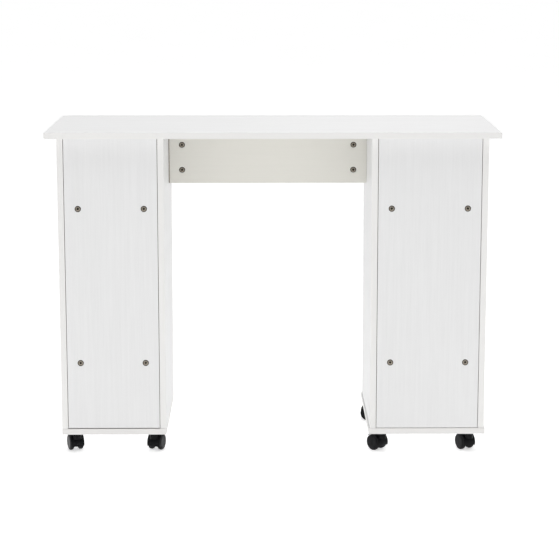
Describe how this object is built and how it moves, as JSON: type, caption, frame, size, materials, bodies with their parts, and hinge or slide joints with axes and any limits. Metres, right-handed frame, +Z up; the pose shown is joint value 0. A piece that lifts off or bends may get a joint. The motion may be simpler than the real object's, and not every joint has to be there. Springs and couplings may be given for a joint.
{
  "type": "sewing table",
  "caption": "Rolling sewing table: a long rectangular top on two pedestal cabinets, one with drawers and one with a door, an apron across the kneehole, and swivel casters.",
  "frame": {"origin": "on the floor, under the middle of the table top", "axes": "+X along the top towards the cabinet with the drawers, +Y from the sitter's side to the back of the table, +Z up"},
  "size_m": [1.1, 0.4, 0.807],
  "materials": {
    "white_melamine": "chipboard faced and edged with white melamine, semi-matt, with a faint wood grain",
    "drawer_board": "foil-wrapped board in matt white",
    "cam_lock_zinc": "die-cast zinc, dull grey",
    "caster_plastic": "black nylon, slightly shiny",
    "satin_nickel": "satin nickel plate",
    "pin_steel": "plain turned steel",
    "white_plastic": "white moulded plastic"
  },
  "bodies": {
    "table": {"table_top": "white_melamine", "kneehole_apron": "white_melamine", "drawer_cabinet_outer_side": "white_melamine", "drawer_cabinet_inner_side": "white_melamine", "drawer_cabinet_back": "white_melamine", "drawer_cabinet_base": "white_melamine", "door_cabinet_outer_side": "white_melamine", "door_cabinet_inner_side": "white_melamine", "door_cabinet_back": "white_melamine", "door_cabinet_base": "white_melamine", "door_cabinet_shelf": "white_melamine", "cam_lock_apron_door_end_lower": "cam_lock_zinc", "cam_lock_apron_door_end_upper": "cam_lock_zinc", "cam_lock_apron_drawer_end_lower": "cam_lock_zinc", "cam_lock_apron_drawer_end_upper": "cam_lock_zinc", "cam_lock_drawer_inner_lower": "cam_lock_zinc", "cam_lock_drawer_inner_upper": "cam_lock_zinc", "cam_lock_drawer_outer_lower": "cam_lock_zinc", "cam_lock_drawer_outer_upper": "cam_lock_zinc", "cam_lock_door_inner_lower": "cam_lock_zinc", "cam_lock_door_inner_upper": "cam_lock_zinc", "cam_lock_door_outer_lower": "cam_lock_zinc", "cam_lock_door_outer_upper": "cam_lock_zinc", "bottom_drawer_rail_inner": "white_plastic", "bottom_drawer_rail_outer": "white_plastic", "middle_drawer_rail_inner": "white_plastic", "middle_drawer_rail_outer": "white_plastic", "top_drawer_rail_inner": "white_plastic", "top_drawer_rail_outer": "white_plastic", "door_pivot_pin_lower": "pin_steel", "door_pivot_pin_upper": "pin_steel", "door_catch": "white_plastic"},
    "bottom_drawer": {"bottom_drawer_front": "white_melamine", "bottom_drawer_box": "drawer_board", "bottom_drawer_knob": "satin_nickel"},
    "middle_drawer": {"middle_drawer_front": "white_melamine", "middle_drawer_box": "drawer_board", "middle_drawer_knob": "satin_nickel"},
    "top_drawer": {"top_drawer_front": "white_melamine", "top_drawer_box": "drawer_board", "top_drawer_knob": "satin_nickel"},
    "door": {"door_panel": "white_melamine", "door_knob": "satin_nickel"},
    "caster_fork_drawer_back_outer": {"caster_hood_drawer_back_outer": "caster_plastic"},
    "caster_roller_drawer_back_outer": {"caster_wheels_drawer_back_outer": "caster_plastic"},
    "caster_fork_drawer_back_inner": {"caster_hood_drawer_back_inner": "caster_plastic"},
    "caster_roller_drawer_back_inner": {"caster_wheels_drawer_back_inner": "caster_plastic"},
    "caster_fork_drawer_front_outer": {"caster_hood_drawer_front_outer": "caster_plastic"},
    "caster_roller_drawer_front_outer": {"caster_wheels_drawer_front_outer": "caster_plastic"},
    "caster_fork_drawer_front_inner": {"caster_hood_drawer_front_inner": "caster_plastic"},
    "caster_roller_drawer_front_inner": {"caster_wheels_drawer_front_inner": "caster_plastic"},
    "caster_fork_door_back_outer": {"caster_hood_door_back_outer": "caster_plastic"},
    "caster_roller_door_back_outer": {"caster_wheels_door_back_outer": "caster_plastic"},
    "caster_fork_door_back_inner": {"caster_hood_door_back_inner": "caster_plastic"},
    "caster_roller_door_back_inner": {"caster_wheels_door_back_inner": "caster_plastic"},
    "caster_fork_door_front_outer": {"caster_hood_door_front_outer": "caster_plastic"},
    "caster_roller_door_front_outer": {"caster_wheels_door_front_outer": "caster_plastic"},
    "caster_fork_door_front_inner": {"caster_hood_door_front_inner": "caster_plastic"},
    "caster_roller_door_front_inner": {"caster_wheels_door_front_inner": "caster_plastic"}
  },
  "joints": [
    {"name": "bottom_drawer_slide", "type": "slide", "parent": "table", "child": "bottom_drawer", "axis": [0, -1, 0], "range_m": [0, 0.24]},
    {"name": "middle_drawer_slide", "type": "slide", "parent": "table", "child": "middle_drawer", "axis": [0, -1, 0], "range_m": [0, 0.24]},
    {"name": "top_drawer_slide", "type": "slide", "parent": "table", "child": "top_drawer", "axis": [0, -1, 0], "range_m": [0, 0.24]},
    {"name": "door_hinge", "type": "hinge", "parent": "table", "child": "door", "pos_m": [-0.493, -0.1625, 0.4295], "axis": [0, 0, -1], "range_deg": [0, 105]},
    {"name": "caster_swivel_drawer_back_outer", "type": "hinge", "parent": "table", "child": "caster_fork_drawer_back_outer", "pos_m": [0.4895, 0.142, 0.052], "axis": [0, 0, 1], "continuous": true},
    {"name": "caster_spin_drawer_back_outer", "type": "hinge", "parent": "caster_fork_drawer_back_outer", "child": "caster_roller_drawer_back_outer", "pos_m": [0.49624, 0.12531, 0.02], "axis": [0.9272, 0.3746, 0], "continuous": true},
    {"name": "caster_swivel_drawer_back_inner", "type": "hinge", "parent": "table", "child": "caster_fork_drawer_back_inner", "pos_m": [0.2975, 0.142, 0.052], "axis": [0, 0, 1], "continuous": true},
    {"name": "caster_spin_drawer_back_inner", "type": "hinge", "parent": "caster_fork_drawer_back_inner", "child": "caster_roller_drawer_back_inner", "pos_m": [0.29134, 0.12509, 0.02], "axis": [0.9397, -0.342, 0], "continuous": true},
    {"name": "caster_swivel_drawer_front_outer", "type": "hinge", "parent": "table", "child": "caster_fork_drawer_front_outer", "pos_m": [0.4895, -0.137, 0.052], "axis": [0, 0, 1], "continuous": true},
    {"name": "caster_spin_drawer_front_outer", "type": "hinge", "parent": "caster_fork_drawer_front_outer", "child": "caster_roller_drawer_front_outer", "pos_m": [0.49263, -0.15473, 0.02], "axis": [0.9848, 0.1736, 0], "continuous": true},
    {"name": "caster_swivel_drawer_front_inner", "type": "hinge", "parent": "table", "child": "caster_fork_drawer_front_inner", "pos_m": [0.2975, -0.137, 0.052], "axis": [0, 0, 1], "continuous": true},
    {"name": "caster_spin_drawer_front_inner", "type": "hinge", "parent": "caster_fork_drawer_front_inner", "child": "caster_roller_drawer_front_inner", "pos_m": [0.30595, -0.15289, 0.02], "axis": [0.8829, 0.4695, 0], "continuous": true},
    {"name": "caster_swivel_door_back_outer", "type": "hinge", "parent": "table", "child": "caster_fork_door_back_outer", "pos_m": [-0.4895, 0.142, 0.052], "axis": [0, 0, 1], "continuous": true},
    {"name": "caster_spin_door_back_outer", "type": "hinge", "parent": "caster_fork_door_back_outer", "child": "caster_roller_door_back_outer", "pos_m": [-0.48105, 0.12611, 0.02], "axis": [0.8829, 0.4695, 0], "continuous": true},
    {"name": "caster_swivel_door_back_inner", "type": "hinge", "parent": "table", "child": "caster_fork_door_back_inner", "pos_m": [-0.2725, 0.142, 0.052], "axis": [0, 0, 1], "continuous": true},
    {"name": "caster_spin_door_back_inner", "type": "hinge", "parent": "caster_fork_door_back_inner", "child": "caster_roller_door_back_inner", "pos_m": [-0.26022, 0.12884, 0.02], "axis": [0.7314, 0.682, 0], "continuous": true},
    {"name": "caster_swivel_door_front_outer", "type": "hinge", "parent": "table", "child": "caster_fork_door_front_outer", "pos_m": [-0.4895, -0.137, 0.052], "axis": [0, 0, 1], "continuous": true},
    {"name": "caster_spin_door_front_outer", "type": "hinge", "parent": "caster_fork_door_front_outer", "child": "caster_roller_door_front_outer", "pos_m": [-0.49711, -0.15331, 0.02], "axis": [0.9063, -0.4226, 0], "continuous": true},
    {"name": "caster_swivel_door_front_inner", "type": "hinge", "parent": "table", "child": "caster_fork_door_front_inner", "pos_m": [-0.2725, -0.137, 0.052], "axis": [0, 0, 1], "continuous": true},
    {"name": "caster_spin_door_front_inner", "type": "hinge", "parent": "caster_fork_door_front_inner", "child": "caster_roller_door_front_inner", "pos_m": [-0.25457, -0.13857, 0.02], "axis": [0.0872, 0.9962, 0], "continuous": true}
  ]
}
